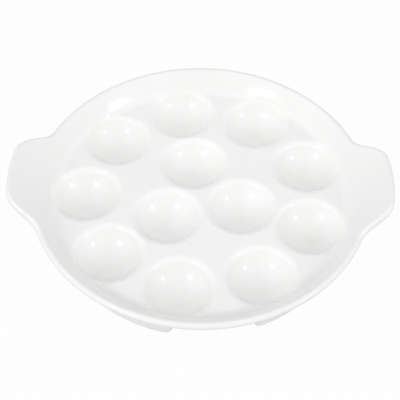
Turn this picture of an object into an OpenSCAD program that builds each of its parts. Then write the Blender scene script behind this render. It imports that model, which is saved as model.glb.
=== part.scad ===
/* [Hollows] */
// Diameter of a hollow, measured where its rounded lip leaves the floor
hollow_d = 42.4; // [34:0.1:52]
// Depth of a hollow below the floor
hollow_depth = 14; // [11:0.1:17]
// Rounding of the lip round a hollow
lip_r = 3; // [1:0.1:4]
// Wall under the lowest point of a hollow
hollow_wall = 3.6; // [3:0.1:5.5]
// Rounding under the plate where the bulge of a hollow meets the floor
bulge_r = 2; // [1:0.1:3]

/* [Rings of hollows] */
// Hollows in the outer ring
outer_count = 9; // [9:1:12]
// Land between neighbours in the outer ring
outer_land = 6.1; // [5.3:0.1:12]
// Land between neighbours in the inner ring
inner_land = 3.7; // [1:0.1:6]
// Turn of both rings away from the line through the lugs, in degrees
ring_turn = 1.3; // [-10:0.1:10]

/* [Wall and rim] */
// Thickness of the floor, the wall and the lugs
wall_t = 4.6; // [3.8:0.1:5.6]
// How far the lips of the outer hollows run into the bend at the foot of the wall
lip_overlap = 2.4; // [0:0.1:2.6]
// Inside radius of the bend at the foot of the wall
bend_r = 5; // [4:0.1:7]
// Slope of the straight wall, in degrees
wall_angle = 54; // [44:1:57]
// Distance from the edge of the floor to the start of the outward flare
flare_start = 8; // [7:0.1:9.5]
// Radius of the outward flare, on the upper side
flare_r = 30.3; // [27:0.1:45]
// Distance from the edge of the floor to the outside of the rim
rim_run = 14.3; // [12.5:0.1:17]
// Floor left outside the outer hollows, up to the seam with the wall
seam_land = 1.5; // [0.8:0.1:2]

/* [Lugs] */
// Reach of a lug beyond the rim
lug_reach = 13.5; // [8:0.1:16.5]
// Width of the plain arc at the tip of a lug
lug_tip_w = 31.5; // [20:0.1:40]
// Width of a lug where it has run out into the rim
lug_root_w = 83.6; // [65:0.1:101]

/* [Foot] */
// Room between the bulges of the hollows and the table
table_gap = 2.3; // [2:0.1:6]
// Width of the tread
foot_w = 4; // [3:0.1:6]
// Distance from the edge of the floor out to the outside of the tread
foot_out = 1; // [0:0.1:3.4]
// Free length between two arcs of the foot, along the middle of the tread
foot_gap = 47; // [20:1:70]
// Turn of the first gap from the front towards the right lug, in degrees
foot_turn = 6.5; // [-20:0.5:20]
// Chamfer along both edges of the tread
tread_edge = 0.6; // [0.2:0.1:1]
// Rounding of the lower corner at the ends of an arc
foot_end_round = 5; // [2:0.1:6]

/* [Hidden] */
$fn = 96;
glaze = [0.95, 0.95, 0.94];
inner_count = 3;
foot_count = 3;

// Room between a foot and the bulges that it passes
seat_clear = 0.2;
// How much wider than the tread the round end of a foot is drawn, so that it covers the tread's corners
end_spare = 0.3;

// Points along each stretch of the wall's section, and sections along a lug
bend_steps = 10;
flare_steps = 9;
lip_steps = 10;
lug_steps = 44;

// Sizes across the plate, worked out from the hollows outwards
hollow_r = hollow_d / 2;
outer_ring_r = (hollow_r + outer_land / 2) / sin(180 / outer_count);
inner_ring_r = (hollow_r + inner_land / 2) / sin(180 / inner_count);
hollow_edge_r = outer_ring_r + hollow_r;
well_r = hollow_edge_r - lip_overlap;
seam_r = hollow_edge_r + seam_land;
rim_r = well_r + rim_run;
lug_r = rim_r + lug_reach;

// Heights above the table
floor_h = table_gap + hollow_wall + hollow_depth;
under_h = floor_h - wall_t;
bulge_depth = under_h - table_gap;

// Half angles of a lug, at its tip and where it has run out into the rim
lug_tip_a = asin(lug_tip_w / 2 / lug_r);
lug_root_a = asin(lug_root_w / 2 / rim_r);

// Places of the hollows: the first outer one points at the left lug,
// and the inner ones point at every third outer one
outer_step = 360 / outer_count;
first_a = 180 + ring_turn;
outer_places = [for (i = [0 : outer_count - 1]) polar(outer_ring_r, first_a - i * outer_step)];
inner_places = [for (i = [0 : inner_count - 1])
    polar(inner_ring_r, first_a - 2 * outer_step - i * 360 / inner_count)];

// Arcs of the foot and their rounded ends
foot_r = well_r + foot_out;
foot_mid_r = foot_r - foot_w / 2;
foot_end_r = foot_w / 2 + end_spare;
foot_gap_a = 360 * (foot_gap + 2 * foot_end_r) / (2 * PI * foot_mid_r);
foot_arc_a = 360 / foot_count - foot_gap_a;

outer_names = [for (i = [1 : outer_count]) str("outer_hollow_", i)];
inner_names = [for (i = [1 : inner_count]) str("inner_hollow_", i)];
foot_names = ["foot_right", "foot_rear", "foot_left"];

function polar(r, a) = [r * cos(a), r * sin(a)];
function smooth(t) = t * t * t * (10 + t * (6 * t - 15));
function clamp01(t) = max(0, min(1, t));
function reversed(list) = [for (i = [len(list) - 1 : -1 : 0]) list[i]];
function between(list, low, high) = [for (p = list) if (p[0] > low && p[0] < high) p];

// The wall is drawn in radius and height. The bend turns up from the edge of the floor about a centre
// above it, a straight slope follows, and the flare turns outwards again about a centre below it.
bend_centre = [well_r, floor_h + bend_r];
bend_top = bend_centre + bend_r * [sin(wall_angle), -cos(wall_angle)];
flare_top_r = well_r + flare_start;
flare_top_h = bend_top[1] + (flare_top_r - bend_top[0]) * tan(wall_angle);
flare_centre = [flare_top_r, flare_top_h] - flare_r * [-sin(wall_angle), cos(wall_angle)];

function bend_curve(r) = [for (i = [0 : bend_steps])
    bend_centre + r * [sin(wall_angle * i / bend_steps), -cos(wall_angle * i / bend_steps)]];
function flare_point(r, slope) = flare_centre + r * [-sin(slope), cos(slope)];

top_curve = concat(bend_curve(bend_r), [flare_point(flare_r, wall_angle)]);
under_curve = concat(bend_curve(bend_r + wall_t), [flare_point(flare_r - wall_t, wall_angle)]);
top_seam = [seam_r, lookup(seam_r, top_curve)];
under_seam = [seam_r, lookup(seam_r, under_curve)];

// Slope of the flare where a round lip reaches the given outside radius
function end_slope(outside_r) = asin((flare_centre[0] - outside_r + wall_t / 2) / (flare_r - wall_t / 2));
function flare_curve(r, end) = [for (i = [1 : flare_steps])
    flare_point(r, wall_angle + (end - wall_angle) * i / flare_steps)];
function lip_curve(end) = [for (i = [1 : lip_steps - 1])
    flare_point(flare_r - wall_t / 2, end) + polar(wall_t / 2, 90 + end - 180 * i / lip_steps)];

// Section of the wall from the seam to a round lip at the given outside radius
function wall_section(outside_r) = concat(
    [top_seam],
    between(top_curve, seam_r, rim_r),
    flare_curve(flare_r, end_slope(outside_r)),
    lip_curve(end_slope(outside_r)),
    reversed(flare_curve(flare_r - wall_t, end_slope(outside_r))),
    reversed(between(under_curve, seam_r, rim_r)),
    [under_seam]);

// Outside radius of a lug at an angle from its middle: the tip's arc runs out into the rim in an S curve
function lug_outline(a) =
    lug_r - lug_reach * smooth(clamp01((abs(a) - lug_tip_a) / (lug_root_a - lug_tip_a)));

// Radius of a bowl with a round lip. The lip and the bowl share a tangent, and half the angle
// that the lip turns through has the tangent depth / mouth_r.
function bowl_radius(mouth_r, depth, round_r) = mouth_r / sin(2 * atan(depth / mouth_r)) - round_r;

// Half section of such a bowl, below the level of its mouth
module bowl_section(mouth_r, depth, round_r) {
    bowl_r = bowl_radius(mouth_r, depth, round_r);
    bowl_centre = [0, bowl_r - depth];
    lip_centre = [mouth_r, -round_r];
    intersection() {
        translate([0, -2 * depth])
            square([mouth_r, 2 * depth]);
        union() {
            translate(bowl_centre)
                circle(r = bowl_r);
            difference() {
                polygon([bowl_centre, lip_centre, [mouth_r, bowl_centre[1]]]);
                translate(lip_centre)
                    circle(r = round_r);
            }
        }
    }
}

// One hollow: a bowl in the floor with its bulge below, cut out of the plate along a cylinder
module hollow(place) {
    color(glaze)
        translate([place[0], place[1], 0])
            rotate_extrude()
                difference() {
                    union() {
                        translate([0, under_h])
                            square([hollow_r, wall_t]);
                        translate([0, under_h])
                            bowl_section(hollow_r, bulge_depth, bulge_r);
                    }
                    translate([0, floor_h])
                        bowl_section(hollow_r, hollow_depth, lip_r);
                }
}

// The flat floor with the start of the bend, and a round seat for each hollow
module well_floor() {
    color(glaze)
        difference() {
            rotate_extrude()
                polygon(concat(
                    [[0, under_h], [0, floor_h]],
                    between(top_curve, 0, seam_r),
                    [top_seam, under_seam],
                    reversed(between(under_curve, 0, seam_r))));
            for (place = concat(outer_places, inner_places))
                translate([place[0], place[1], 0])
                    cylinder(r = hollow_r, h = floor_h + wall_t);
        }
}

// A stretch of the flared wall with its round lip, between the two lugs
module rim(middle_a) {
    half_a = 90 - lug_root_a;
    color(glaze)
        rotate([0, 0, middle_a - half_a])
            rotate_extrude(angle = 2 * half_a)
                polygon(wall_section(rim_r));
}

// A lug is the same wall carried further out: its sections are joined round the plate into one skin
module lug(middle_a) {
    angles = [for (i = [0 : lug_steps]) lug_root_a * (2 * i / lug_steps - 1)];
    sections = [for (a = angles) wall_section(lug_outline(a))];
    count = len(sections[0]);
    points = [for (i = [0 : lug_steps]) for (p = sections[i])
        [each polar(p[0], middle_a + angles[i]), p[1]]];
    skin = [for (i = [0 : lug_steps - 1]) for (k = [0 : count - 1]) each [
        [i * count + k, i * count + (k + 1) % count, (i + 1) * count + k],
        [i * count + (k + 1) % count, (i + 1) * count + (k + 1) % count, (i + 1) * count + k]]];
    near_end = [for (k = [count - 1 : -1 : 0]) k];
    far_end = [for (k = [0 : count - 1]) lug_steps * count + k];
    color(glaze)
        polyhedron(points, concat(skin, [near_end, far_end]));
}

// Section of the foot: a straight ring from the tread up to its seat under the floor and the bend
foot_section = concat(
    [[foot_r - foot_w + tread_edge, 0],
        [foot_r - tread_edge, 0],
        [foot_r, tread_edge],
        [foot_r, lookup(foot_r, under_curve)]],
    reversed(between(under_curve, foot_r - foot_w, foot_r)),
    [[foot_r - foot_w, lookup(foot_r - foot_w, under_curve)],
        [foot_r - foot_w, tread_edge]]);

// Plan of one arc of the foot: a wedge with a round end on either side
module foot_plan(start_a) {
    corners = [for (i = [0 : 2]) polar(2 * foot_r, start_a + foot_arc_a * i / 2)];
    polygon(concat([[0, 0]], corners));
    for (a = [start_a, start_a + foot_arc_a])
        translate(polar(foot_mid_r, a))
            circle(r = foot_end_r);
}

// Room that one hollow takes up under the floor
module bulge_room() {
    bulge_ball_r = bowl_radius(hollow_r, bulge_depth, bulge_r);
    translate([0, 0, table_gap + bulge_ball_r])
        sphere(r = bulge_ball_r + seat_clear);
    translate([0, 0, under_h - bulge_r])
        cylinder(r = hollow_r + seat_clear, h = wall_t + bulge_r);
}

// What is cut off the lower corner at one end of a foot: a block less the round that stays.
// Side 1 is the end that the arc runs out to, and side -1 the end that it starts from.
module end_corner(end_a, side) {
    rotate([0, 0, end_a])
        translate([foot_mid_r, side * (foot_end_r - foot_end_round), foot_end_round])
            rotate([0, 90, 0])
                difference() {
                    translate([0, side > 0 ? 0 : -2 * foot_end_round, -foot_w])
                        cube([2 * foot_end_round, 2 * foot_end_round, 2 * foot_w]);
                    cylinder(r = foot_end_round, h = 3 * foot_w, center = true);
                }
}

// One arc of the foot, cut back where the bulges of the outer hollows pass it
module foot(index) {
    start_a = foot_turn - 90 + foot_gap_a / 2 + index * 360 / foot_count;
    color(glaze)
        difference() {
            intersection() {
                rotate_extrude()
                    polygon(foot_section);
                linear_extrude(height = floor_h)
                    foot_plan(start_a);
            }
            end_corner(start_a, -1);
            end_corner(start_a + foot_arc_a, 1);
            for (place = outer_places)
                translate([place[0], place[1], 0])
                    bulge_room();
        }
}

well_floor();
for (i = [0 : outer_count - 1])
    hollow(outer_places[i]);
for (i = [0 : inner_count - 1])
    hollow(inner_places[i]);
rim(-90);  // rim_front
rim(90);  // rim_rear
lug(180);  // lug_left
lug(0);  // lug_right
for (i = [0 : foot_count - 1])
    foot(i);
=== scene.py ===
import bpy
import numpy as np
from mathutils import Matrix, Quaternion, Vector
from mathutils.geometry import delaunay_2d_cdt


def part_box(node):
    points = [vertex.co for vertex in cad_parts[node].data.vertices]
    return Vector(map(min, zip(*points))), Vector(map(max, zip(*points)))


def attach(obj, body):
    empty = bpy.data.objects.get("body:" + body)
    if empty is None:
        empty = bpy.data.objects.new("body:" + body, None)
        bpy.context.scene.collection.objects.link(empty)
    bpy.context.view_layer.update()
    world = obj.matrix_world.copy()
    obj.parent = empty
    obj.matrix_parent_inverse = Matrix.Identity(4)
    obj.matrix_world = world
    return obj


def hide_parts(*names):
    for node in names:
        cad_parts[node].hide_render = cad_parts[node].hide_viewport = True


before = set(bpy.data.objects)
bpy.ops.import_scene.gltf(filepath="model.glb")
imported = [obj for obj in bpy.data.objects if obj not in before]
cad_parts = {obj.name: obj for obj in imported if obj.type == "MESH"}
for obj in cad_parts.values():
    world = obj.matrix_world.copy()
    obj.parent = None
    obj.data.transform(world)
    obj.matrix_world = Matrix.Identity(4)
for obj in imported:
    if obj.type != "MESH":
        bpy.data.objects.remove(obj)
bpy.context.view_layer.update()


# The floor of the dish is the flat middle of the plate, with the start of the bend up into the wall.
# It is white porcelain, pressed in one body with the hollows and the wall, glazed all over and fired.
# Each hollow sits in a round seat in it, and the wall stands on its outer seam.
floor_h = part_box("outer_hollow_1")[1].z
under_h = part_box("well_floor")[0].z
seam_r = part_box("well_floor")[1].x
wall_t = floor_h - under_h
lip_half_t = wall_t / 2

# The section of the dish in radius and height: flat floor, bend, slope, and a flare about its own centre
rim_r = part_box("rim_rear")[1].y
rim_top_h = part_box("rim_rear")[1].z
wall_angle = np.radians(48)
bend_r = 0.008
flare_r = 0.0636
flare_end = np.radians(38)
flare_centre = np.array([rim_r - lip_half_t + (flare_r - lip_half_t) * np.sin(flare_end),
                         rim_top_h - lip_half_t - (flare_r - lip_half_t) * np.cos(flare_end)])
flare_top_r, flare_top_h = flare_centre + flare_r * np.array([-np.sin(wall_angle), np.cos(wall_angle)])
well_r = flare_top_r - (flare_top_h - floor_h) / np.tan(wall_angle) - bend_r * np.tan(wall_angle / 2)

# Rings of points along the bend and round each seat, and the room that they leave to the edges
bend_rings = 10
edge_rings = 4
ring_clear = 0.0002

# The glaze: its lightness where it is even, on a lip's crest, where it is greyed partly as thin glaze and
# partly as painted shade over the lit crest, and deep in a hollow, where it is greyed as painted shade; how
# much painted shade greys the wall; its gloss from cloud to cloud, and the waves and the peel of its
# surface
glaze_white = 0.92
lip_glaze_and_shade_white = 0.87
hollow_painted_shade_white = 0.89
wall_painted_shade = 0.75
glaze_tint = (1.0, 0.998, 0.992)
gloss = (0.15, 0.17)
noise_low, noise_high = 0.3, 0.7
cloud_scale, cloud_dim = 30, 0.985
wave_scale, wave_height = 42, 0.00004
peel_scale, peel_height = 620, 0.0000025


def add(tree, kind, inputs, **settings):
    """A shader node with its settings, and its inputs as values or as links from other nodes' sockets."""
    made = tree.nodes.new("ShaderNode" + kind)
    for name, value in settings.items():
        setattr(made, name, value)
    for name, value in inputs.items():
        if isinstance(value, bpy.types.NodeSocket):
            tree.links.new(value, made.inputs[name])
        else:
            made.inputs[name].default_value = value
    return made


def grey(level):
    """A glaze colour of that lightness, with the faint warm tint of the fired glaze."""
    return tuple(level * part for part in glaze_tint) + (1,)


def glaze(name):
    """White gloss glaze over porcelain. Its lightness goes by a per-point attribute: -1 deep in a hollow,
    where it is greyed as painted shade, 0 where it is even, and 1 on a lip's crest, where it is greyed
    partly as thin glaze and partly as painted shade over the lit crest. Points in between are greyed in
    proportion, which gives the wall and the bend their painted shade. Long low waves and a fine peel bend
    its reflections."""
    material = bpy.data.materials.new(name)
    material.use_nodes = True
    tree = material.node_tree
    place = add(tree, "TexCoord", {}).outputs["Object"]
    glaze_and_shade = add(tree, "Attribute", {}, attribute_name="glaze_and_painted_shade").outputs["Fac"]
    cloud = add(tree, "TexNoise", {"Vector": place, "Scale": cloud_scale, "Detail": 3}).outputs["Fac"]
    wave = add(tree, "TexNoise", {"Vector": place, "Scale": wave_scale, "Detail": 1}).outputs["Fac"]
    peel = add(tree, "TexNoise", {"Vector": place, "Scale": peel_scale, "Detail": 2}).outputs["Fac"]
    depth = add(tree, "MapRange", {"Value": glaze_and_shade, "From Min": -1, "From Max": 1})
    drift = add(tree, "MapRange", {"Value": cloud, "From Min": noise_low, "From Max": noise_high,
                                   "To Min": cloud_dim, "To Max": 1.0})
    # Painted shade: greyer deep in the hollows, and greyer on the lips' crests, which is partly thin glaze
    tone = add(tree, "ValToRGB", {"Fac": depth.outputs["Result"]})
    tone.color_ramp.elements[0].color = grey(hollow_painted_shade_white)
    tone.color_ramp.elements[1].color = grey(lip_glaze_and_shade_white)
    tone.color_ramp.elements.new(0.5).color = grey(glaze_white)
    colour = add(tree, "VectorMath", {0: tone.outputs["Color"], "Scale": drift.outputs["Result"]},
                 operation="SCALE")
    sheen = add(tree, "MapRange", {"Value": cloud, "From Min": noise_low, "From Max": noise_high,
                                   "To Min": gloss[0], "To Max": gloss[1]})
    low = add(tree, "Bump", {"Height": wave, "Strength": 1, "Distance": wave_height})
    fine = add(tree, "Bump", {"Height": peel, "Strength": 1, "Distance": peel_height,
                              "Normal": low.outputs["Normal"]})
    shader = tree.nodes["Principled BSDF"]
    tree.links.new(colour.outputs["Vector"], shader.inputs["Base Color"])
    tree.links.new(sheen.outputs["Result"], shader.inputs["Roughness"])
    tree.links.new(fine.outputs["Normal"], shader.inputs["Normal"])
    return material


glazed = glaze("white_glaze")


def dish_height(rho, radius):
    """Height over the flat floor at a distance from the middle: none up to the edge of the floor, then
    a circle of the given radius until it has turned to the slope of the wall, then straight on, and
    then the flare, a circle about the same centre on both sides of the wall."""
    flare = flare_r + bend_r - radius
    past = np.maximum(rho - well_r, 0)
    turned = np.minimum(past, radius * np.sin(wall_angle))
    flared = np.maximum(rho - flare_centre[0] + flare * np.sin(wall_angle), 0)
    rise = np.sqrt(flare**2 - (flare * np.sin(wall_angle) - flared)**2) - flare * np.cos(wall_angle)
    return radius - np.sqrt(radius**2 - turned**2) + (past - turned - flared) * np.tan(wall_angle) + rise


def lip_turn(mouth, depth):
    """Angle that the lip of a bowl turns through: its half has the tangent depth over mouth radius."""
    return 2 * np.arctan(depth / mouth)


def bowl_drop(r, mouth, depth, round_r):
    """Depth below the mouth of a bowl: from the mouth inwards a circle of the lip's radius, and inside
    that a sphere with the same tangent where they meet."""
    turn = lip_turn(mouth, depth)
    bowl_r = mouth / np.sin(turn) - round_r
    meet_r = mouth - round_r * np.sin(turn)
    in_lip = np.clip(mouth - r, 0, round_r * np.sin(turn))
    lip = round_r - np.sqrt(round_r**2 - in_lip**2)
    bowl = depth - bowl_r + np.sqrt(bowl_r**2 - np.minimum(r, meet_r)**2)
    return np.where(r > meet_r, lip, bowl)


# Where the hollows lie, and the sizes of a bowl with its soft lip
hollow_nodes = sorted(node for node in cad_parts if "hollow" in node)
hollow_places = np.array([sum(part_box(node), Vector()) / 2 for node in hollow_nodes])[:, :2]
hollow_r = (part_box("outer_hollow_1")[1].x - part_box("outer_hollow_1")[0].x) / 2
hollow_depth = 0.0125
mouth_r = 0.0236
lip_r = 0.0055
lip_fade = 0.003


def floor_top(x, y):
    """Height of the upper side of the floor above the table: the dish less the hollows. Where two lips
    meet, the root of the sum of their squared depths blends them, and next to the seam with the wall
    the lips fade out as 3 t squared - 2 t cubed."""
    rho = np.hypot(x, y)
    away = np.hypot(x[..., None] - hollow_places[:, 0], y[..., None] - hollow_places[:, 1])
    drop = np.linalg.norm(bowl_drop(away, mouth_r, hollow_depth, lip_r), axis=-1)
    t = np.clip((seam_r - rho) / lip_fade, 0, 1)
    return floor_h + dish_height(rho, bend_r) - drop * t**2 * (3 - 2 * t)


def floor_under(x, y):
    """Height of the underside, whose bend has the same centre as the upper one."""
    return under_h + dish_height(np.hypot(x, y), bend_r + wall_t)


def field(plan, height, side, faces, glaze_and_shade=0.0):
    """A surface given by its height over points of the plan: side 1 faces up and side -1 faces down.
    Its normals are (-slope along x, -slope along y, 1), from differences a micron to either side."""
    step = 1e-6
    x, y = plan.T
    slope_x = (height(x + step, y) - height(x - step, y)) / (2 * step)
    slope_y = (height(x, y + step) - height(x, y - step)) / (2 * step)
    normals = side * np.stack([-slope_x, -slope_y, np.ones_like(x)], axis=1)
    return np.column_stack([plan, height(x, y)]), normals, faces, np.broadcast_to(glaze_and_shade, x.shape)


def grid_faces(rows, columns, closed):
    """Quads of a grid that is stored row by row, its last column joined to its first if it is closed."""
    row = np.arange(rows - 1)[:, None] * columns
    column = np.arange(columns if closed else columns - 1)[None, :]
    after = (column + 1) % columns
    corners = [row + column, row + after, row + columns + after, row + columns + column]
    return np.stack(corners, axis=-1).reshape(-1, 4)


def upright(plan, top, under, normals):
    """An upright band along a closed line of the plan, from the underside to the upper side."""
    x, y = plan.T
    points = np.concatenate([np.column_stack([plan, under(x, y)]), np.column_stack([plan, top(x, y)])])
    level = np.column_stack([normals, np.zeros(len(plan))])
    return points, np.tile(level, (2, 1)), grid_faces(2, len(plan), True), np.zeros(len(points))


merge_digits = 8


def make_piece(node, surfaces, finish):
    """One closed mesh from surfaces of (points, normals, faces, glaze lightness with its painted shade),
    which stands for a node.
    Points that coincide are merged, each face is turned to its normals, and each corner keeps the
    normal of its own surface, so that a form runs on smoothly from one piece into the next."""
    faces, corner_normals, start = [], [], 0
    for points, normals, patch, _ in surfaces:
        ring = points[patch] - points[patch[:, :1]]
        area = np.cross(ring, np.roll(ring, -1, axis=1)).sum(axis=1)
        inward = (area * normals[patch].sum(axis=1)).sum(axis=1) < 0
        patch = np.where(inward[:, None], patch[:, ::-1], patch)
        corner_normals.append(normals[patch].reshape(-1, 3))
        faces.append(patch + start)
        start += len(points)
    points = np.concatenate([surface[0] for surface in surfaces])
    glaze_and_shade = np.concatenate([surface[3] for surface in surfaces])
    _, first, merged = np.unique(points.round(merge_digits), axis=0, return_index=True, return_inverse=True)
    merged = merged.ravel()
    mesh = bpy.data.meshes.new(node)
    outlines = [outline for patch in faces for outline in merged[patch].tolist()]
    mesh.from_pydata(points[first], [], outlines, shade_flat=False)
    normals = np.concatenate(corner_normals)
    mesh.normals_split_custom_set(normals / np.linalg.norm(normals, axis=1)[:, None])
    # Per-point lightness of the glaze, which carries its painted shade
    mesh.attributes.new("glaze_and_painted_shade", "FLOAT", "POINT").data.foreach_set("value", glaze_and_shade[first])
    mesh.materials.append(finish)
    piece = bpy.data.objects.new("glazed_" + node, mesh)
    bpy.context.scene.collection.objects.link(piece)
    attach(piece, "root")
    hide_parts(node)
    return piece


# Stations round the plate: a lug on either side and a plain stretch of rim between, all in step
lug_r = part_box("lug_right")[1].x
lug_tip_w = 0.0315
lug_root_w = 0.0836
lug_stations, rim_stations = 161, 241
lug_tip_a = np.arcsin(lug_tip_w / 2 / lug_r)
lug_root_a = np.arcsin(lug_root_w / 2 / rim_r)
lug_turns = np.linspace(-lug_root_a, lug_root_a, lug_stations)
rim_turns = np.linspace(lug_root_a, np.pi - lug_root_a, rim_stations)
stretches = {"lug_right": lug_turns, "rim_rear": rim_turns,
             "lug_left": lug_turns + np.pi, "rim_front": rim_turns + np.pi}
stations = np.concatenate([turns[:-1] for turns in stretches.values()])


def around(turns):
    """Unit vectors of the plan at those angles."""
    return np.stack([np.cos(turns), np.sin(turns)], axis=-1)


# Rings of points in a bowl, and the points round its edge, which a hollow and its seat share
bowl_rings, lip_rings = 20, 16
ring_points = 8 * (bowl_rings + lip_rings)
ring_turns = 2 * np.pi * np.arange(ring_points) / ring_points
seats = hollow_places[:, None] + hollow_r * around(ring_turns)

# The plan of the floor: its seats and its seam as closed loops, with loose points along the bend
seam = seam_r * around(stations)
loose = [(np.linspace(well_r, seam_r, bend_rings)[:-1, None, None] * around(stations[::2])).reshape(-1, 2)]
for ring_r in np.linspace(hollow_r, mouth_r, edge_rings + 1)[1:]:
    loose.append((hollow_places[:, None] + ring_r * around(ring_turns[::2])).reshape(-1, 2))
loose = np.concatenate(loose)
from_hollows = np.linalg.norm(loose[:, None] - hollow_places, axis=2).min(axis=1)
clear = (from_hollows > hollow_r + ring_clear) & (np.linalg.norm(loose, axis=1) < seam_r - ring_clear)
plan = np.concatenate([*seats, seam, loose[clear]])
loop_sizes = [len(ring_turns)] * len(hollow_nodes) + [len(stations)]
loop_starts = np.cumsum([0] + loop_sizes[:-1])
loops = [start + np.stack([np.arange(size), (np.arange(size) + 1) % size], axis=1)
         for start, size in zip(loop_starts, loop_sizes)]
join_distance = 1e-9
_, _, triangles, sources, _, _ = delaunay_2d_cdt(
    [Vector(point) for point in plan], np.concatenate(loops).tolist(), [], 1, join_distance)
triangles = np.array([source[0] for source in sources])[np.array(triangles)]

# Triangles that fill a seat have their middles just inside its ring of points
seat_fill_r = 0.9999 * hollow_r
middles = plan[triangles].mean(axis=1)
in_seat = np.linalg.norm(middles[:, None] - hollow_places, axis=2).min(axis=1) < seat_fill_r
triangles = triangles[~in_seat]

# Painted shade greys the bend more and more towards the wall
floor_painted_shade = wall_painted_shade * np.clip((np.linalg.norm(plan, axis=1) - well_r) / (seam_r - well_r), 0, 1)**2
floor_surfaces = [field(plan, floor_top, 1, triangles, floor_painted_shade),
                  field(plan, floor_under, -1, triangles, floor_painted_shade),
                  upright(seam, floor_top, floor_under, around(stations))]
floor_surfaces += [upright(seat, floor_top, floor_under, -around(ring_turns)) for seat in seats]
make_piece("well_floor", floor_surfaces, glazed)


# The hollows each hold one snail: a round bowl with a soft lip, and a bulge of even wall underneath.
# They are porcelain of the same body as the floor, pressed in the same mould, and are glazed with it.
# The lips of the outer ones run into the bend at the foot of the wall.
bulge_r = 0.002
bulge_depth = under_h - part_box("outer_hollow_1")[0].z


def ring_radii(mouth, depth, round_r):
    """Radii of the rings of points in a bowl: even steps across the sphere, even turns round the lip."""
    turn = lip_turn(mouth, depth)
    turn_at_seat = np.arcsin((mouth - hollow_r) / round_r)
    sphere = np.linspace(0, mouth - round_r * np.sin(turn), bowl_rings + 1)
    lip = mouth - round_r * np.sin(np.linspace(turn, turn_at_seat, lip_rings + 1)[1:])
    return np.concatenate([sphere, lip])


def disc(radii):
    """A round grid without a pole. Point (i, j) of a square grid lies on its square ring number
    max(|i|, |j|), and that ring is drawn as a circle of its radius with its points spread evenly."""
    rings = len(radii) - 1
    i, j = np.meshgrid(np.arange(-rings, rings + 1), np.arange(-rings, rings + 1), indexing="ij")
    ring = np.maximum(abs(i), abs(j))
    steep = abs(j) > abs(i)
    share = np.where(steep, i, j) / np.where(ring == 0, 1, np.where(steep, j, i))
    turn = np.where(steep, 2 - share, share) + np.where(np.where(steep, j, i) < 0, 4, 0)
    points = radii[ring][..., None] * around(turn * np.pi / 4)
    return points.reshape(-1, 2), ring.ravel()


disc_points = 2 * (bowl_rings + lip_rings) + 1
disc_faces = grid_faces(disc_points, disc_points, False)
bowl_plan, bowl_ring = disc(ring_radii(mouth_r, hollow_depth, lip_r))
bulge_plan, _ = disc(ring_radii(hollow_r, bulge_depth, bulge_r))
# Painted shade: each bowl is greyed more and more towards its bottom
bowl_painted_shade = -(1 - bowl_ring / bowl_ring.max())**2


def underside(x, y):
    """Height of the plate's underside: the floor's, less the deepest bulge there."""
    away = np.hypot(x[..., None] - hollow_places[:, 0], y[..., None] - hollow_places[:, 1])
    return floor_under(x, y) - bowl_drop(away, hollow_r, bulge_depth, bulge_r).max(axis=-1)


for node, hollow_place, seat in zip(hollow_nodes, hollow_places, seats):
    make_piece(node, [field(bowl_plan + hollow_place, floor_top, 1, disc_faces, bowl_painted_shade),
                      field(bulge_plan + hollow_place, underside, -1, disc_faces),
                      upright(seat, floor_top, floor_under, around(ring_turns))],
               glazed)


# The wall curves up out of the bend, flares outwards and ends in a rounded lip.
# At either end of the plate it is carried further out and up as a lug to lift the hot dish by.
# It is the same glazed porcelain, in four stretches that meet at the roots of the lugs.
slope_rows, lip_rows, fall_rows = 25, 25, 17
flare_under_r = flare_centre[0] - (flare_r - wall_t) * np.sin(wall_angle)


def lug_outline(turns):
    """Outside radius of the lip. A lug's tip is an arc round the plate, which runs out into the rim as
    an S curve that is flat in slope and curvature at both ends: t cubed times (10 - 15 t + 6 t squared)."""
    from_tip = np.minimum(abs(np.sin(turns)), np.sin(lug_root_a))
    t = np.clip((np.arcsin(from_tip) - lug_tip_a) / (lug_root_a - lug_tip_a), 0, 1)
    return lug_r - (lug_r - rim_r) * t**3 * (10 - 15 * t + 6 * t**2)


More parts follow.
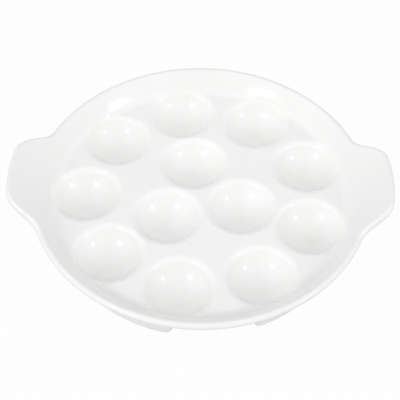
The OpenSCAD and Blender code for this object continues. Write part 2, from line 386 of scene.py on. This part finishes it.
def wall(turns):
    """A stretch of the wall: its section in radius and height, carried round the plate. The section goes
    up the flare from the seam, half round the lip, and back down the flare, the slope and the bend of the
    underside, each with its own normal. Where the outline moves outwards, the lip's normal leans back
    against that. Painted shade greys the whole wall, and greys the lip most where it faces outwards and up,
    which is partly glaze that runs thin there and partly painted shade over the lit crest."""
    outside = lug_outline(turns)
    drift = np.gradient(outside, turns)
    end = np.arcsin((flare_centre[0] - outside + lip_half_t) / (flare_r - lip_half_t))
    seam_slope = np.arcsin((flare_centre[0] - seam_r) / flare_r)
    slope = seam_slope + (end - seam_slope) * np.linspace(0, 1, slope_rows)[:, None]
    half_turn = np.pi / 2 + end - np.pi * np.linspace(0, 1, lip_rows)[1:-1, None]
    fall = np.linspace(np.full(len(turns), flare_under_r), seam_r, fall_rows)
    fall_slope = np.arcsin(np.clip((fall - well_r) / (bend_r + wall_t), 0, np.sin(wall_angle)))
    back = wall_angle + (end - wall_angle) * np.linspace(1, 0, slope_rows)[:-1, None]
    lip_centre_r = flare_centre[0] - (flare_r - lip_half_t) * np.sin(end)
    lip_centre_h = flare_centre[1] + (flare_r - lip_half_t) * np.cos(end)
    radius = np.concatenate([flare_centre[0] - flare_r * np.sin(slope),
                             lip_centre_r + lip_half_t * np.cos(half_turn),
                             flare_centre[0] - (flare_r - wall_t) * np.sin(back), fall])
    height = np.concatenate([flare_centre[1] + flare_r * np.cos(slope),
                             lip_centre_h + lip_half_t * np.sin(half_turn),
                             flare_centre[1] + (flare_r - wall_t) * np.cos(back),
                             under_h + dish_height(fall, bend_r + wall_t)])
    out = np.concatenate([-np.sin(slope), np.cos(half_turn), np.sin(back), np.sin(fall_slope)])
    up = np.concatenate([np.cos(slope), np.sin(half_turn), -np.cos(back), -np.cos(fall_slope)])
    lean = np.zeros_like(out)
    lip = slice(len(slope), len(slope) + len(half_turn))
    lean[lip] = -drift * (np.cos(half_turn) + np.sin(half_turn) * np.tan(end)) / radius[lip]
    # Painted shade over the wall; on the lip's crest it is partly thin glaze and partly painted shade
    glaze_and_shade = np.full_like(out, wall_painted_shade)
    glaze_and_shade[lip] = np.maximum(wall_painted_shade, np.cos(half_turn - np.pi / 4))
    outward, along = around(turns), around(turns + np.pi / 2)
    points = np.concatenate([radius[..., None] * outward, height[..., None]], axis=2)
    normals = np.concatenate([out[..., None] * outward + lean[..., None] * along, up[..., None]], axis=2)
    return points, normals, glaze_and_shade


for node, turns in stretches.items():
    points, normals, glaze_and_shade = wall(turns)
    rows, columns = glaze_and_shade.shape
    surfaces = [(points.reshape(-1, 3), normals.reshape(-1, 3),
                 grid_faces(rows, columns, False), glaze_and_shade.ravel())]
    seam_points = points[[0, -1]].reshape(-1, 3)
    inward = np.tile(np.column_stack([-around(turns), np.zeros(columns)]), (2, 1))
    surfaces.append((seam_points, inward, grid_faces(2, columns, False), np.zeros(2 * columns)))
    for end, turn in ((0, turns[0] - np.pi / 2), (-1, turns[-1] + np.pi / 2)):
        flat = np.tile(np.append(around(turn), 0), (rows, 1))
        surfaces.append((points[:, end], flat, np.arange(rows)[None], np.zeros(rows)))
    make_piece(node, surfaces, glazed)


# The foot is three arcs of a low ring under the edge of the floor, with rounded ends and gaps between.
# They are of the same porcelain, with a soft fillet where they grow out of the underside. The glaze is
# wiped off the flat tread before firing, so that the plate doesn't stick to the kiln shelf.
foot_w = 0.004
foot_gap = 0.047
foot_turn = np.radians(6.5)
end_spare = 0.0003
tread_edge = 0.0006
foot_end_round = 0.005
foot_fillet = 0.0018
foot_mid_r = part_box("foot_rear")[1].y - foot_w / 2
foot_gap_a = (foot_gap + foot_w + 2 * end_spare) / foot_mid_r
foot_nodes = ["foot_right", "foot_rear", "foot_left"]
foot_arc_a = 2 * np.pi / len(foot_nodes) - foot_gap_a
arc_stations, end_stations = 121, 25
edge_rows, side_rows, fillet_rows = 7, 9, 9
end_steepest = 0.98
bare_level = 0.80
bare_roughness = 0.75
grain_scale, grain_dim = 2600, 0.96
glaze_line_h = 0.0005
line_scale, line_wander, line_blur = 260, 0.0003, 0.00015


def foot_finish():
    """The same glaze, ending in a slightly wavy line just above the tread, below which the fired clay is
    bare: matt, a little greyer, with a fine sandy grain."""
    material = glaze("white_glaze_with_bare_tread")
    tree = material.node_tree
    shader = tree.nodes["Principled BSDF"]
    place = add(tree, "TexCoord", {}).outputs["Object"]
    height = add(tree, "SeparateXYZ", {"Vector": place}).outputs["Z"]
    wander = add(tree, "TexNoise", {"Vector": place, "Scale": line_scale, "Detail": 2}).outputs["Fac"]
    line = add(tree, "MapRange", {"Value": wander, "To Min": glaze_line_h - line_wander,
                                  "To Max": glaze_line_h + line_wander})
    over = add(tree, "Math", {0: height, 1: line.outputs["Result"]}, operation="SUBTRACT")
    bare = add(tree, "MapRange", {"Value": over.outputs[0], "From Min": line_blur, "From Max": -line_blur})
    grain = add(tree, "TexNoise", {"Vector": place, "Scale": grain_scale, "Detail": 2}).outputs["Fac"]
    clay = add(tree, "MapRange", {"Value": grain, "From Min": noise_low, "From Max": noise_high,
                                  "To Min": bare_level * grain_dim, "To Max": bare_level})
    colour = add(tree, "Mix", {"Factor": bare.outputs["Result"]}, data_type="RGBA")
    tree.links.new(shader.inputs["Base Color"].links[0].from_socket, colour.inputs["A"])
    tree.links.new(clay.outputs["Result"], colour.inputs["B"])
    rough = add(tree, "Mix", {"Factor": bare.outputs["Result"], "B": bare_roughness}, data_type="FLOAT")
    tree.links.new(shader.inputs["Roughness"].links[0].from_socket, rough.inputs["A"])
    tree.links.new(colour.outputs["Result"], shader.inputs["Base Color"])
    tree.links.new(rough.outputs["Result"], shader.inputs["Roughness"])
    return material


wiped = foot_finish()


def foot(start_a):
    """One arc of the foot: a profile of distance from the middle line of the tread and height, carried
    round that line and its two ends. It goes round the edge of the tread, up the side, and out in a
    quarter circle to the underside of the plate. Towards an end the tread lifts off the table along a
    circle: its radius less the root of radius squared less distance squared."""
    arc = start_a + foot_arc_a * (1 - np.cos(np.linspace(0, np.pi, arc_stations))) / 2
    half = np.pi * np.linspace(0, 1, end_stations)[1:-1]
    at = np.concatenate([arc, np.full(len(half), arc[-1]), arc[::-1], np.full(len(half), arc[0])])
    facing = np.concatenate([np.zeros(len(arc)), half, np.full(len(arc), np.pi), np.pi + half])
    way = around(at + facing)
    edge = np.linspace(-np.pi / 2, 0, edge_rows)
    side = np.linspace(0, 1, side_rows)[1:]
    fillet = np.linspace(np.pi, np.pi / 2, fillet_rows)[1:]
    half_w = foot_w / 2
    out = np.concatenate([half_w - tread_edge + tread_edge * np.cos(edge), np.full(len(side), half_w),
                          half_w + foot_fillet * (1 + np.cos(fillet))])
    plan = foot_mid_r * around(at) + out[:, None, None] * way
    top = underside(plan[..., 0], plan[..., 1])
    _, side_top, fillet_top = np.split(top, [len(edge), len(edge) + len(side)])
    from_end = foot_mid_r * np.minimum(at - arc[0], arc[-1] - at)
    past_end = foot_end_round - half_w - from_end + half_w * abs(np.sin(facing))
    bent = np.clip(past_end, 0, foot_end_round)
    lift = foot_end_round - np.sqrt(foot_end_round**2 - bent**2)
    edge_h = lift + tread_edge * (1 + np.sin(edge))[:, None]
    side_h = lift + tread_edge + side[:, None] * (side_top - foot_fillet - tread_edge - lift)
    fillet_h = fillet_top - foot_fillet * (1 - np.sin(fillet))[:, None]
    height = np.concatenate([edge_h, side_h, fillet_h])
    points = np.concatenate([plan, height[..., None]], axis=2)
    ring = np.concatenate([points[:, -1:], points, points[:, :1]], axis=1)
    normals = np.cross(ring[:, 2:] - ring[:, :-2], np.gradient(points, axis=0))
    rows, columns = height.shape
    even = np.zeros(columns)
    up = np.tile([0.0, 0.0, 1.0], (columns, 1))
    towards_end = np.where(at < arc.mean(), -1, 1)[:, None] * around(at + np.pi / 2)
    steep = np.minimum(bent, end_steepest * foot_end_round)
    rise = steep / np.sqrt(foot_end_round**2 - steep**2)
    down = np.column_stack([rise[:, None] * towards_end, -np.ones(columns)])
    tip = len(arc) + len(half) // 2
    outside = np.arange(tip - len(arc) - len(half) + 1, tip) % columns
    inside = (2 * tip - outside) % columns
    across = np.stack([outside[:-1], outside[1:], inside[1:], inside[:-1]], axis=1)
    tips = np.array([[tip - 1, tip, tip + 1], [outside[0], outside[0] - 1, inside[0]]])
    band = grid_faces(rows, columns, True)
    return [(points.reshape(-1, 3), normals.reshape(-1, 3), band, np.zeros(rows * columns)),
            (points[0], down, across, even), (points[0], down, tips, even),
            (points[-1], up, across, even), (points[-1], up, tips, even)]


for index, node in enumerate(foot_nodes):
    start_a = foot_turn - np.pi / 2 + foot_gap_a / 2 + index * 2 * np.pi / len(foot_nodes)
    make_piece(node, foot(start_a), wiped)


# The table is a plain white sheet inside a white tent, which is lighter at the sides than behind. Two
# softboxes stand in front, to the left and to the right, and give the bowls their two reflections.
# To the camera the table is white apart from the plate's own faint shadow.
table_w = 6.0
table_level = 0.72
shadow_share = 0.04

table_mesh = bpy.data.meshes.new("table")
half_table = table_w / 2
table_corners = [(x, y, 0) for x, y in half_table * np.array([(-1, -1), (1, -1), (1, 1), (-1, 1)])]
table_mesh.from_pydata(table_corners, [], [(0, 1, 2, 3)])
table = bpy.data.objects.new("table", table_mesh)
bpy.context.scene.collection.objects.link(table)
table_white = bpy.data.materials.new("table_white")
table_white.use_nodes = True
tree = table_white.node_tree
tree.nodes.clear()
seen = add(tree, "LightPath", {}).outputs["Is Camera Ray"]
lit_share = add(tree, "Math", {0: seen, 1: 1 - shadow_share}, operation="MULTIPLY").outputs[0]
paper = add(tree, "BsdfDiffuse", {"Color": (table_level, table_level, table_level, 1)}).outputs[0]
bright = add(tree, "Emission", {"Color": (1, 1, 1, 1), "Strength": 1}).outputs[0]
mixed = add(tree, "MixShader", {0: lit_share, 1: paper, 2: bright}).outputs[0]
add(tree, "OutputMaterial", {"Surface": mixed})
table_mesh.materials.append(table_white)

world = bpy.data.worlds.new("white_surround")
bpy.context.scene.world = world
world.use_nodes = True
tree = world.node_tree
tree.nodes.clear()
tent_level = 0.625

# Parts of the tent that differ from its even level: which way they lie, how much lighter they are (less
# than none where the tent is darker, behind the plate), and how narrow they are
tent_parts = [((1, 0, 0), 0.54, 1), ((-1, 0, 0), 0.62, 1), ((0, 1, 0), -0.40, 1),
              ((-0.62, -0.38, 0.69), 0.40, 6), ((0.62, -0.38, 0.69), 0.32, 6)]
look = add(tree, "TexCoord", {}).outputs["Generated"]
lit = tent_level
for way, share, narrowness in tent_parts:
    facing = add(tree, "VectorMath", {0: look, 1: way}, operation="DOT_PRODUCT").outputs["Value"]
    facing = add(tree, "Math", {0: facing, 1: 0}, operation="MAXIMUM").outputs[0]
    facing = add(tree, "Math", {0: facing, 1: narrowness}, operation="POWER").outputs[0]
    lit = add(tree, "Math", {0: facing, 1: share, 2: lit}, operation="MULTIPLY_ADD").outputs[0]
seen = add(tree, "LightPath", {}).outputs["Is Camera Ray"]
level = add(tree, "MapRange", {"Value": seen, "To Min": lit, "To Max": 1}).outputs["Result"]
surround = add(tree, "Background", {"Color": (1, 1, 1, 1), "Strength": level}).outputs[0]
add(tree, "OutputWorld", {"Surface": surround})


lamp_distance = 1.2


def softbox(name, towards, width, height, watts):
    """A rectangular lamp that stands in that direction from the plate and faces it."""
    lamp = bpy.data.lights.new(name, "AREA")
    lamp.shape = "RECTANGLE"
    lamp.size, lamp.size_y, lamp.energy = width, height, watts
    stand = bpy.data.objects.new(name, lamp)
    stand.location = lamp_distance * Vector(towards).normalized()
    stand.rotation_euler = Vector(towards).to_track_quat("Z", "Y").to_euler()
    stand.visible_camera = False
    bpy.context.scene.collection.objects.link(stand)


softbox("left_softbox", (-0.522, -0.486, 0.701), width=0.24, height=0.14, watts=1.05)
softbox("right_softbox", (0.718, -0.320, 0.618), width=0.18, height=0.12, watts=0.7)


# The camera stands in front of the plate and above it, with a long lens. Its place, lens and roll are
# those that bring the rim, the lugs and the hollows to where the photograph shows them.
camera_place = Vector((0.00846, -0.4000, 0.4970))
camera_aim = Vector((-0.00018, -0.00596, 0.0217))
camera_roll = np.radians(0.473)
camera_lens = 90.1
camera = bpy.data.objects.new("camera", bpy.data.cameras.new("camera"))
camera.data.sensor_width = 36
camera.data.lens = camera_lens
camera.location = camera_place
camera.rotation_mode = "QUATERNION"
level_turn = (camera_aim - camera_place).to_track_quat("-Z", "Y")
camera.rotation_quaternion = level_turn @ Quaternion((0, 0, 1), camera_roll)
bpy.context.scene.collection.objects.link(camera)
bpy.context.scene.camera = camera
bpy.context.scene.view_settings.view_transform = "Standard"
